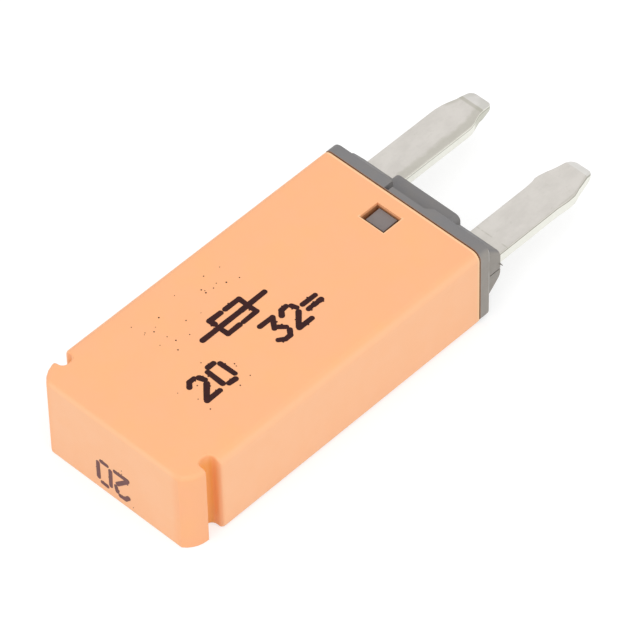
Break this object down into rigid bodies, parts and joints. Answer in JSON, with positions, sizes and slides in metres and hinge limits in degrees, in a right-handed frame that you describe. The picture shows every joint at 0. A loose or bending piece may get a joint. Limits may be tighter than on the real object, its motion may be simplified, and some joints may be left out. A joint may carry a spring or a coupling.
{
  "type": "automotive fuse",
  "caption": "Mini-blade automotive fuse of the self-resetting type: long moulded case on a snap-in base, with tinned blades and a bimetal strip inside.",
  "frame": {"origin": "on the resting back face, under the middle of the whole part", "axes": "+Y along the part towards the blade tips, +Z out of the printed front face, +X across the blades to the right"},
  "size_m": [0.0124, 0.0352, 0.006],
  "materials": {
    "cover_plastic": "satin",
    "base_plastic": "matt",
    "tinned_metal": "tin plated, satin",
    "bimetal": "bright rolled",
    "silver_alloy": "satin silver"
  },
  "bodies": {
    "fuse": {"cover": "cover_plastic", "base": "base_plastic", "terminal_left": "tinned_metal", "terminal_right": "tinned_metal", "fixed_contact": "silver_alloy"},
    "contact_arm": {"bimetal_strip": "bimetal", "moving_contact": "silver_alloy"}
  },
  "joints": [
    {"name": "strip_flex", "type": "hinge", "parent": "fuse", "child": "contact_arm", "pos_m": [0, -0.0137, 0.0034], "axis": [1, 0, 0], "range_deg": [0, 3], "stiffness_Nm_per_rad": 0.02, "springref_deg": -5.73}
  ]
}
